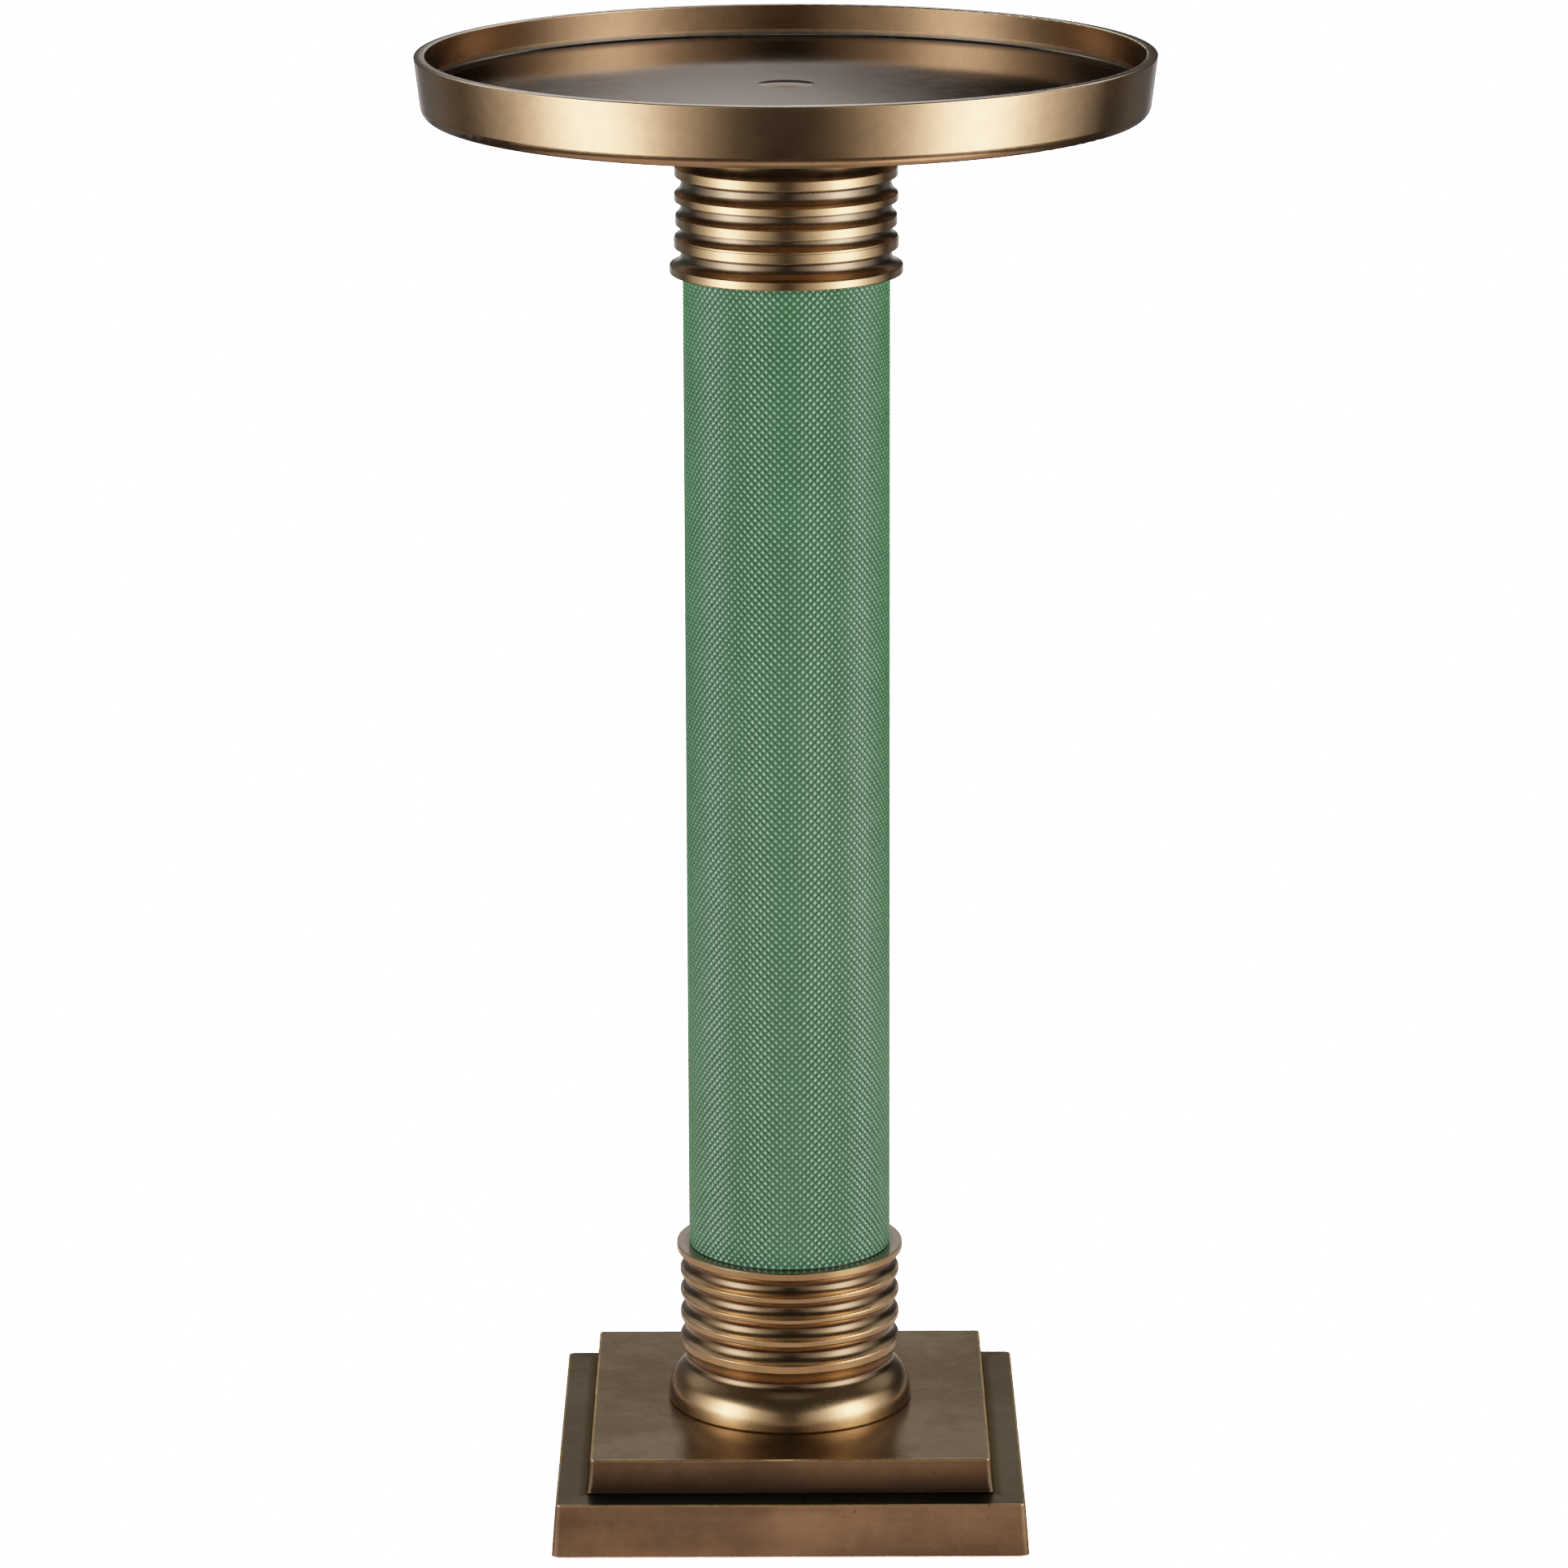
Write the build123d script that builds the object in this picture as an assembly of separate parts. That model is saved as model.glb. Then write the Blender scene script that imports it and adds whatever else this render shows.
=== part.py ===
# Round tray drinks table: cast tray on a wrapped column with ribbed collars
# and a two-step square plinth. Millimetres, +Z up, origin on the floor at the
# centre of the table; everything round is turned about the Z axis.
from build123d import *
import math
import os

os.makedirs("parts", exist_ok=True)

# ------------------------------------------------------------------ sizes
# overall
TABLE_HEIGHT = 610.0          # floor to rim
TRAY_DIAMETER = 301.3

# base
PAD_THICKNESS = 1.0
PAD_RADIUS = 11.0
PAD_OFFSET = 78.0

LOWER_BOTTOM_SIDE = 197.3
LOWER_EDGE_SIDE = 193.8
LOWER_TOP_SIDE = 169.6
LOWER_EDGE_Z = 23.0
LOWER_TOP_Z = 23.8
LOWER_CAVITY_SIDE = 176.0
LOWER_CAVITY_Z = 17.0

UPPER_BOTTOM_SIDE = 169.0
UPPER_MID_SIDE = 166.7
UPPER_TOP_SIDE = 165.6
UPPER_TOP_Z = 37.6
UPPER_MID_Z = 30.6

COVER_SIDE = 184.0
COVER_THICKNESS = 2.0
COVER_SCREW_OFFSET = 86.0

BALLAST_SIDE = 130.0
BALLAST_THICKNESS = 10.0
BALLAST_SCREW_OFFSET = 50.0
PLINTH_SCREW_OFFSET = 71.0

# column
COLUMN_Z0 = 106.4
COLUMN_Z1 = 520.1
WRAP_RADIUS = 42.15
TUBE_RADIUS = 41.0
TUBE_BORE = 38.0
PLUG_RADIUS = 37.9
SPIGOT_RADIUS = 30.0
SPIGOT_LENGTH = 10.0
PLUG_LENGTH = 20.0
SEAM_WIDTH = 0.5

# lower collar
LC_WALL = 43.2
LC_FLANGE = 47.6
LC_RIB = 46.2
LC_FOOT = 51.4

# upper collar
UC_WALL = 43.0
UC_FLANGE = 47.7
UC_TOP_Z = 579.5

# tray and what holds it
FLOOR_Z = 597.0
TRAY_BOTTOM_Z = 584.8
BOSS_Z = 584.5
BOSS_RADIUS = 62.0
PLATE_RADIUS = 58.0
PLATE_Z = 579.5
PLATE_THICKNESS = 4.0
TRAY_SCREW_CIRCLE = 51.5

# tie rod, M10
ROD_RADIUS = 5.0
ROD_HOLE = 5.5
ROD_Z0 = 3.6
ROD_Z1 = 595.4

EASE = 0.35                   # small broken edge on the turned lands


# ---------------------------------------------------------------- helpers
class Profile:
    """Closed (r, z) outline of straight runs and arcs with eased corners."""

    def __init__(self):
        self.runs = []

    def line(self, a, b):
        self.runs.append(("L", a, b))

    def arc(self, centre, a, b):
        self.runs.append(("A", a, b, centre))

    def curve(self, *pts):
        self.runs.append(("B",) + pts)

    @staticmethod
    def _ends(run):
        return (run[1], run[-1]) if run[0] == "B" else (run[1], run[2])

    @staticmethod
    def _trim(run, s, at_end):
        """Point at arc length s from one end of a run."""
        if run[0] == "L":
            a, b = (run[2], run[1]) if at_end else (run[1], run[2])
            n = math.dist(a, b)
            return (a[0] + (b[0] - a[0]) * s / n, a[1] + (b[1] - a[1]) * s / n)
        if run[0] == "A":
            a, b, c = run[1], run[2], run[3]
            p, q = (b, a) if at_end else (a, b)
            rad = math.dist(p, c)
            t0 = math.atan2(p[1] - c[1], p[0] - c[0])
            t1 = math.atan2(q[1] - c[1], q[0] - c[0])
            d = (t1 - t0 + math.pi) % (2 * math.pi) - math.pi
            t = t0 + math.copysign(s / rad, d)
            return (c[0] + rad * math.cos(t), c[1] + rad * math.sin(t))
        return run[-1] if at_end else run[1]

    def face(self, ease):
        """ease maps a corner index to its setback; corner i ends run i."""
        n = len(self.runs)
        start = [self._ends(r)[0] for r in self.runs]
        end = [self._ends(r)[1] for r in self.runs]
        corners = []
        for i in range(n):
            s = ease.get(i, 0.0)
            j = (i + 1) % n
            if s > 0:
                c = end[i]
                p = self._trim(self.runs[i], s, True)
                q = self._trim(self.runs[j], s, False)
                end[i], start[j] = p, q
                m = ((p[0] + q[0]) / 2, (p[1] + q[1]) / 2)
                corners.append((i, p, (c[0] + 0.58 * (m[0] - c[0]),
                                       c[1] + 0.58 * (m[1] - c[1])), q))
        edges = []
        for i, run in enumerate(self.runs):
            a, b = start[i], end[i]
            if run[0] == "L":
                edges.append(Line(xz(a), xz(b)))
            elif run[0] == "A":
                c = run[3]
                rad = math.dist(run[1], c)
                t0 = math.atan2(a[1] - c[1], a[0] - c[0])
                t1 = math.atan2(b[1] - c[1], b[0] - c[0])
                d = (t1 - t0 + math.pi) % (2 * math.pi) - math.pi
                t = t0 + d / 2
                edges.append(ThreePointArc(
                    xz(a), xz((c[0] + rad * math.cos(t),
                               c[1] + rad * math.sin(t))), xz(b)))
            else:
                edges.append(Bezier(*[xz(p) for p in run[1:]]))
            for k, p, m, q in corners:
                if k == i:
                    edges.append(ThreePointArc(xz(p), xz(m), xz(q)))
        return make_face(Wire(edges))


def xz(p):
    return (p[0], 0, p[1])


def turn(face):
    return revolve(face, axis=Axis.Z, revolution_arc=360)


def ring(r_in, r_out, z0, z1):
    body = Pos(0, 0, (z0 + z1) / 2) * Cylinder(r_out, z1 - z0)
    if r_in > 0:
        body -= Pos(0, 0, (z0 + z1) / 2) * Cylinder(r_in, z1 - z0 + 2)
    return body


def rod(r, z0, z1, x=0.0, y=0.0):
    return Pos(x, y, (z0 + z1) / 2) * Cylinder(r, z1 - z0)


def hexagon(across_flats, z0, z1, x=0.0, y=0.0):
    sk = RegularPolygon(across_flats / 2, 6, major_radius=False)
    return extrude(Pos(x, y, z0) * sk, z1 - z0)


def square(side, corner, z):
    return Pos(0, 0, z) * RectangleRounded(side, side, corner)


def polar(radius, count, start=0.0):
    out = []
    for k in range(count):
        a = math.radians(start + 360.0 * k / count)
        out.append((radius * math.cos(a), radius * math.sin(a)))
    return out


def corners(offset):
    return [(sx * offset, sy * offset) for sx in (-1, 1) for sy in (-1, 1)]


def one(shape):
    """Strip wrappers so a node is exported as a plain solid or compound."""
    solids = shape.solids()
    return solids[0] if len(solids) == 1 else Compound(children=list(solids))


def write(name, shape):
    body = one(shape)
    body.label = name
    export_step(body, "parts/%s.step" % name)
    bb = body.bounding_box()
    print("%-22s solids %2d  volume %9.0f  z %.2f..%.2f" % (
        name, len(shape.solids()), shape.volume, bb.min.Z, bb.max.Z))


# ------------------------------------------------------------ lower plinth
lower_body = loft([square(LOWER_BOTTOM_SIDE, 3.0, PAD_THICKNESS),
                   square(LOWER_EDGE_SIDE, 2.6, LOWER_EDGE_Z)])
rim_edges = lower_body.edges().filter_by_position(
    Axis.Z, LOWER_EDGE_Z - 0.01, LOWER_EDGE_Z + 0.01)
lower_body = fillet(rim_edges, 0.5)
lower_crown = loft([square(LOWER_EDGE_SIDE - 1.4, 2.0, LOWER_EDGE_Z),
                    square(LOWER_TOP_SIDE, 1.5, LOWER_TOP_Z)])
lower_plinth = lower_body + lower_crown
cavity = extrude(square(LOWER_CAVITY_SIDE, 4.0, PAD_THICKNESS),
                 LOWER_CAVITY_Z - PAD_THICKNESS)
rebate = extrude(square(COVER_SIDE, 3.0, PAD_THICKNESS), COVER_THICKNESS)
lower_plinth -= cavity
lower_plinth -= rebate
for x, y in polar(COVER_SCREW_OFFSET - 2.0, 4):
    lower_plinth += rod(6.0, PAD_THICKNESS + COVER_THICKNESS,
                        LOWER_CAVITY_Z + 1.0, x, y)
for x, y in polar(COVER_SCREW_OFFSET - 2.0, 4):
    lower_plinth -= rod(1.5, PAD_THICKNESS, 12.0, x, y)
lower_plinth -= rod(ROD_HOLE, 10.0, 30.0)
for x, y in corners(PLINTH_SCREW_OFFSET):
    lower_plinth -= rod(3.2, 10.0, 30.0, x, y)
for x, y in corners(BALLAST_SCREW_OFFSET):
    lower_plinth -= rod(3.0, 10.0, 21.5, x, y)
write("lower_plinth", lower_plinth)

# ------------------------------------------------------------ upper plinth
upper_plinth = loft([square(UPPER_BOTTOM_SIDE, 2.4, LOWER_TOP_Z),
                     square(UPPER_MID_SIDE, 2.1, UPPER_MID_Z),
                     square(UPPER_TOP_SIDE, 2.0, UPPER_TOP_Z)])
top_edges = upper_plinth.edges().filter_by_position(
    Axis.Z, UPPER_TOP_Z - 0.01, UPPER_TOP_Z + 0.01)
upper_plinth = fillet(top_edges, 0.5)
pocket = extrude(square(152.0, 4.0, LOWER_TOP_Z), 7.0)
pocket -= rod(58.0, LOWER_TOP_Z - 1, LOWER_TOP_Z + 8)
for x, y in corners(PLINTH_SCREW_OFFSET - 1.0):
    pocket -= rod(9.0, LOWER_TOP_Z - 1, LOWER_TOP_Z + 8, x, y)
upper_plinth -= pocket
upper_plinth -= rod(ROD_HOLE, 20.0, 40.0)
for x, y in corners(PLINTH_SCREW_OFFSET):
    upper_plinth -= rod(3.0, 20.0, 35.0, x, y)
for x, y in polar(43.0, 3, 90):
    upper_plinth -= rod(3.0, 29.6, 40.0, x, y)
write("upper_plinth", upper_plinth)

# ------------------------------------------------------------- foot, cover
pads = [rod(PAD_RADIUS, 0.0, PAD_THICKNESS, x, y) for x, y in corners(PAD_OFFSET)]
pads = [fillet(p.edges().filter_by_position(Axis.Z, -0.01, 0.01), 0.25)
        for p in pads]
write("foot_pads", Compound(children=pads))

cover = extrude(square(COVER_SIDE - 0.6, 2.8, PAD_THICKNESS), COVER_THICKNESS)
for x, y in polar(COVER_SCREW_OFFSET - 2.0, 4):
    cover -= Pos(x, y, PAD_THICKNESS + 0.85) * Cone(3.05, 1.35, 1.7)
    cover -= rod(1.75, PAD_THICKNESS, PAD_THICKNESS + 4, x, y)
write("base_cover", cover)

cover_screws = []
for x, y in polar(COVER_SCREW_OFFSET - 2.0, 4):
    s = Pos(x, y, PAD_THICKNESS + 0.85) * Cone(2.85, 1.2, 1.7)
    s += rod(1.45, PAD_THICKNESS + 1.2, 11.5, x, y)
    s -= Pos(x, y, PAD_THICKNESS + 0.3) * Box(0.7, 3.2, 1.4)
    s -= Pos(x, y, PAD_THICKNESS + 0.3) * Box(3.2, 0.7, 1.4)
    cover_screws.append(one(s))
write("base_cover_screws", Compound(children=cover_screws))

# ------------------------------------------------- ballast and base screws
b0 = LOWER_CAVITY_Z - BALLAST_THICKNESS
ballast = extrude(square(BALLAST_SIDE, 6.0, b0), BALLAST_THICKNESS)
ballast -= rod(22.0, 0.0, 30.0)
for x, y in corners(BALLAST_SCREW_OFFSET):
    ballast -= rod(3.3, 0.0, 30.0, x, y)
ballast = chamfer(ballast.faces().sort_by(Axis.Z)[0].outer_wire().edges(), 1.0)
write("ballast_plate", ballast)

ballast_screws = []
for x, y in corners(BALLAST_SCREW_OFFSET):
    s = rod(5.6, b0 - 3.4, b0, x, y)
    s = fillet(s.edges().filter_by_position(Axis.Z, b0 - 3.41, b0 - 3.39), 0.8)
    s += rod(3.0, b0 - 1.0, 21.3, x, y)
    s -= hexagon(4.0, b0 - 3.5, b0 - 1.2, x, y)
    ballast_screws.append(one(s))
write("ballast_screws", Compound(children=ballast_screws))

plinth_screws = []
for x, y in corners(PLINTH_SCREW_OFFSET):
    s = rod(5.0, LOWER_CAVITY_Z - 3.4, LOWER_CAVITY_Z, x, y)
    s += rod(3.0, LOWER_CAVITY_Z - 1.0, 34.5, x, y)
    s -= hexagon(4.0, LOWER_CAVITY_Z - 3.5, LOWER_CAVITY_Z - 1.2, x, y)
    plinth_screws.append(one(s))
write("plinth_screws", Compound(children=plinth_screws))

pins = [rod(3.0, 29.6, 45.6, x, y) for x, y in polar(43.0, 3, 90)]
write("locating_pins", Compound(children=pins))

# ------------------------------------------------------------ lower collar
# (land top, land bottom, groove below, rib radius), from the flange down
LC_LANDS = [(106.4, 103.4, 99.6, LC_FLANGE),
            (95.2, 93.1, 90.1, LC_RIB),
            (85.8, 84.0, 80.7, LC_RIB),
            (76.2, 73.7, 70.3, LC_RIB),
            (65.5, 62.0, 56.4, LC_RIB)]


def cove_centre(groove, edge):
    """Centre of the arc that leaves the groove upright and meets the edge."""
    dr = edge[0] - groove[0]
    dz = groove[1] - edge[1]
    rho = (dr * dr + dz * dz) / (2.0 * dr)
    return (groove[0] + rho, groove[1])


p = Profile()
ease = {}
p.line((SPIGOT_RADIUS + 0.1, COLUMN_Z0), (LC_FLANGE, COLUMN_Z0))
ease[0] = EASE
for i, (top, bottom, groove, rad) in enumerate(LC_LANDS):
    p.line((rad, top), (rad, bottom))
    ease[len(p.runs) - 1] = EASE
    p.line((rad, bottom), (LC_WALL, groove))
    ease[len(p.runs) - 1] = 0.3
    if i + 1 < len(LC_LANDS):
        nxt = (LC_LANDS[i + 1][3], LC_LANDS[i + 1][0])
        g = (LC_WALL, groove)
        p.arc(cove_centre(g, nxt), g, nxt)
        ease[len(p.runs) - 1] = EASE
ease[len(p.runs) - 1] = 0.0
p.curve((LC_WALL, 56.4), (LC_WALL, 51.7), (LC_FOOT, 51.7), (LC_FOOT, 38.2))
p.line((LC_FOOT, 38.2), (LC_FOOT - 0.5, UPPER_TOP_Z))
p.line((LC_FOOT - 0.5, UPPER_TOP_Z), (ROD_HOLE, UPPER_TOP_Z))
p.line((ROD_HOLE, UPPER_TOP_Z), (ROD_HOLE, 47.6))
p.line((ROD_HOLE, 47.6), (37.0, 47.6))
ease[len(p.runs) - 1] = 2.0
p.line((37.0, 47.6), (37.0, 92.0))
ease[len(p.runs) - 1] = 2.0
p.line((37.0, 92.0), (SPIGOT_RADIUS + 0.1, 96.0))
p.line((SPIGOT_RADIUS + 0.1, 96.0), (SPIGOT_RADIUS + 0.1, COLUMN_Z0))
lower_collar = turn(p.face(ease))
for x, y in polar(43.0, 3, 90):
    lower_collar -= rod(3.0, 30.0, 45.8, x, y)
write("lower_collar", lower_collar)

# ------------------------------------------------------------ upper collar
# (land bottom, land top, rib radius, radius of the cove above), going up
UC_LANDS = [(520.1, 523.7, UC_FLANGE, 5.2),
            (530.8, 535.5, 45.9, 4.3),
            (540.1, 544.2, 45.3, 4.8),
            (550.0, 553.1, 45.7, 4.8),
            (560.1, 564.2, 45.6, 8.2)]
UNDERCUT = 0.95               # fall of the underside of each land towards the wall

p = Profile()
ease = {}
p.line((SPIGOT_RADIUS + 0.1, COLUMN_Z1), (UC_FLANGE, COLUMN_Z1))
ease[0] = 0.5
for i, (bottom, top, rad, rho) in enumerate(UC_LANDS):
    if i == 1:
        # a fine step just under the top edge of this land
        p.line((rad, bottom), (rad, top - 0.9))
        ease[len(p.runs) - 1] = 0.12
        p.line((rad, top - 0.9), (rad - 0.3, top - 0.75))
        p.line((rad - 0.3, top - 0.75), (rad - 0.3, top))
        ease[len(p.runs) - 1] = 0.25
        rad = rad - 0.3
    else:
        p.line((rad, bottom), (rad, top))
        ease[len(p.runs) - 1] = EASE
    last = i + 1 == len(UC_LANDS)
    wall = 42.2 if last else UC_WALL
    cx = wall + rho
    zc = top + math.sqrt(rho * rho - (cx - rad) ** 2)
    p.arc((cx, zc), (rad, top), (wall, zc))
    if not last:
        nb, nr = UC_LANDS[i + 1][0], UC_LANDS[i + 1][2]
        foot = nb - UNDERCUT
        if foot - zc > 0.05:
            p.line((wall, zc), (wall, foot))
        else:
            foot = zc
        ease[len(p.runs) - 1] = 0.0
        if foot - zc > 0.9:
            ease[len(p.runs) - 1] = 0.4
        p.line((wall, foot), (nr, nb))
        ease[len(p.runs) - 1] = 0.3
    else:
        p.arc((cx, zc), (wall, zc), (rad, 2 * zc - top))
        ease[len(p.runs) - 1] = EASE
        p.line((rad, 2 * zc - top), (rad, UC_TOP_Z))
        ease[len(p.runs) - 1] = EASE
p.line((45.6, UC_TOP_Z), (36.5, UC_TOP_Z))
p.line((36.5, UC_TOP_Z), (36.5, 536.0))
ease[len(p.runs) - 1] = 2.0
p.line((36.5, 536.0), (SPIGOT_RADIUS + 0.1, 532.0))
p.line((SPIGOT_RADIUS + 0.1, 532.0), (SPIGOT_RADIUS + 0.1, COLUMN_Z1))
upper_collar = turn(p.face(ease))
write("upper_collar", upper_collar)

# ------------------------------------------------------------------ column
tube = ring(TUBE_BORE, TUBE_RADIUS, COLUMN_Z0, COLUMN_Z1)
write("column_core_tube", tube)

wrap = ring(TUBE_RADIUS, WRAP_RADIUS, COLUMN_Z0 + 0.3, COLUMN_Z1)
wrap -= Pos(0, (TUBE_RADIUS + WRAP_RADIUS) / 2, (COLUMN_Z0 + COLUMN_Z1) / 2) * \
    Box(SEAM_WIDTH, 4.0, COLUMN_Z1 - COLUMN_Z0 + 2)
write("column_wrap", wrap)

low_plug = ring(ROD_HOLE, PLUG_RADIUS, COLUMN_Z0, COLUMN_Z0 + PLUG_LENGTH)
low_plug += ring(ROD_HOLE, SPIGOT_RADIUS, COLUMN_Z0 - SPIGOT_LENGTH,
                 COLUMN_Z0 + 1)
write("lower_end_plug", low_plug)

top_plug = ring(ROD_HOLE, PLUG_RADIUS, COLUMN_Z1 - PLUG_LENGTH, COLUMN_Z1)
top_plug += ring(ROD_HOLE, SPIGOT_RADIUS, COLUMN_Z1 - 1,
                 COLUMN_Z1 + SPIGOT_LENGTH)
write("upper_end_plug", top_plug)

# -------------------------------------------------------------------- tray
R = TRAY_DIAMETER / 2.0
p = Profile()
ease = {}
p.line((11.5, FLOOR_Z), (145.5, FLOOR_Z))
ease[0] = 0.8
p.line((145.5, FLOOR_Z), (145.95, TABLE_HEIGHT - 0.15))
ease[1] = 0.45
p.arc((148.3, TABLE_HEIGHT - 18.0), (145.95, TABLE_HEIGHT - 0.15),
      (R, TABLE_HEIGHT - 0.15))
ease[2] = 0.7
p.line((R, TABLE_HEIGHT - 0.15), (147.6, TRAY_BOTTOM_Z))
ease[3] = 4.6
p.line((147.6, TRAY_BOTTOM_Z), (139.0, TRAY_BOTTOM_Z))
ease[4] = 0.6
p.line((139.0, TRAY_BOTTOM_Z), (138.4, 593.0))
ease[5] = 2.0
p.line((138.4, 593.0), (BOSS_RADIUS, 593.0))
ease[6] = 2.0
p.line((BOSS_RADIUS, 593.0), (BOSS_RADIUS, BOSS_Z))
ease[7] = 0.8
p.line((BOSS_RADIUS, BOSS_Z), (ROD_HOLE, BOSS_Z))
p.line((ROD_HOLE, BOSS_Z), (ROD_HOLE, 588.0))
p.line((ROD_HOLE, 588.0), (10.5, 588.0))
p.line((10.5, 588.0), (10.5, 596.0))
p.line((10.5, 596.0), (11.5, 596.0))
p.line((11.5, 596.0), (11.5, FLOOR_Z))
tray = turn(p.face(ease))
for k in range(6):
    web = Pos(100.0, 0, (586.4 + 594.0) / 2) * Box(79.0, 4.0, 594.0 - 586.4)
    tray += Rot(0, 0, 30 + 60 * k) * web
for x, y in polar(TRAY_SCREW_CIRCLE, 6):
    tray -= rod(2.5, BOSS_Z - 1, 593.0, x, y)
write("tray_top", tray)

p = Profile()
sag = 0.55
rho = (11.4 ** 2 + sag ** 2) / (2 * sag)
p.line((0.0, 596.0), (11.4, 596.0))
p.line((11.4, 596.0), (11.4, FLOOR_Z))
p.arc((0.0, FLOOR_Z + sag - rho), (11.4, FLOOR_Z), (0.0, FLOOR_Z + sag))
p.line((0.0, FLOOR_Z + sag), (0.0, 596.0))
write("tray_centre_cap", turn(p.face({})))

gasket = ring(20.0, PLATE_RADIUS - 1.0, PLATE_Z + PLATE_THICKNESS, BOSS_Z)
for x, y in polar(TRAY_SCREW_CIRCLE, 6):
    gasket -= rod(2.8, 580.0, 590.0, x, y)
write("tray_gasket", gasket)

plate = ring(ROD_HOLE, PLATE_RADIUS, PLATE_Z, PLATE_Z + PLATE_THICKNESS)
plate = chamfer(plate.faces().sort_by(Axis.Z)[0].outer_wire().edges(), 0.5)
for x, y in polar(TRAY_SCREW_CIRCLE, 6):
    plate -= rod(2.75, 570.0, 590.0, x, y)
write("tray_flange_plate", plate)

tray_screws = []
for x, y in polar(TRAY_SCREW_CIRCLE, 6):
    s = rod(4.4, PLATE_Z - 2.7, PLATE_Z, x, y)
    s = fillet(s.edges().filter_by_position(Axis.Z, PLATE_Z - 2.71,
                                            PLATE_Z - 2.69), 1.2)
    s += rod(2.5, PLATE_Z - 0.5, 592.5, x, y)
    s -= hexagon(3.0, PLATE_Z - 3.0, PLATE_Z - 1.0, x, y)
    tray_screws.append(one(s))
write("tray_flange_screws", Compound(children=tray_screws))

# ---------------------------------------------------------------- tie rod
tie = rod(ROD_RADIUS, ROD_Z0, ROD_Z1)
tie = chamfer(tie.edges().filter_by(GeomType.CIRCLE), 0.8)
write("tie_rod", tie)

upper_washer = ring(ROD_RADIUS + 0.25, 10.0, 588.0, 589.6)
write("upper_washer", upper_washer)
upper_nut = hexagon(17.0, 589.6, 594.6) - rod(ROD_RADIUS, 580.0, 600.0)
upper_nut &= Pos(0, 0, 592.1) * Cylinder(9.4, 5.0)
write("upper_nut", upper_nut)

lower_washer = ring(ROD_RADIUS + 0.25, 15.0, 15.0, 17.0)
write("lower_washer", lower_washer)
spring = ring(ROD_RADIUS + 0.3, 9.0, 12.8, 15.0)
spring -= Pos(7.2, 0, 13.9) * Rot(20, 0, 0) * Box(6.0, 1.0, 4.0)
write("lower_spring_washer", spring)
lower_nut = hexagon(17.0, 4.8, 12.8) - rod(ROD_RADIUS, 0.0, 20.0)
lower_nut &= Pos(0, 0, 8.8) * Cylinder(9.4, 8.0)
write("lower_nut", lower_nut)
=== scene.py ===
"""A round-tray drinks table: ribbed brass collars, an embossed green sheath on the column and a two-step plinth."""
import math

import bpy
import bmesh
import numpy as np
from mathutils import Matrix, Vector

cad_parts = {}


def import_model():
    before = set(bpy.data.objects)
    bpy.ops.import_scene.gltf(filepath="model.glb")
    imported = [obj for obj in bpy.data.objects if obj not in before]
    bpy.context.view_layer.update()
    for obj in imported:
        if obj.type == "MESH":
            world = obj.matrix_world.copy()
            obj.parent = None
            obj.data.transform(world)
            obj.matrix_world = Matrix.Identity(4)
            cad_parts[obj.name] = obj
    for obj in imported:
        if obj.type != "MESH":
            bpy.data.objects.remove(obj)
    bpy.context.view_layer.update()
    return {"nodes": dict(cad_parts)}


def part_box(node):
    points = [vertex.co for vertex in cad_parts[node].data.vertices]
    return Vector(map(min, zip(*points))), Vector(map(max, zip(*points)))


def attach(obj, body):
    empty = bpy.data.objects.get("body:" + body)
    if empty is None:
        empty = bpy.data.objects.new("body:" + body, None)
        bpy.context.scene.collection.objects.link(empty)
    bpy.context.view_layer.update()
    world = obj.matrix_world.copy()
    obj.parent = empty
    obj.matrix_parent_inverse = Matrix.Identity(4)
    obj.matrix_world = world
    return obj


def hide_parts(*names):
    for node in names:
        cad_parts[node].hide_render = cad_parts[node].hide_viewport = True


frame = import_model()
scene = bpy.context.scene
NODES = frame["nodes"]


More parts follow.
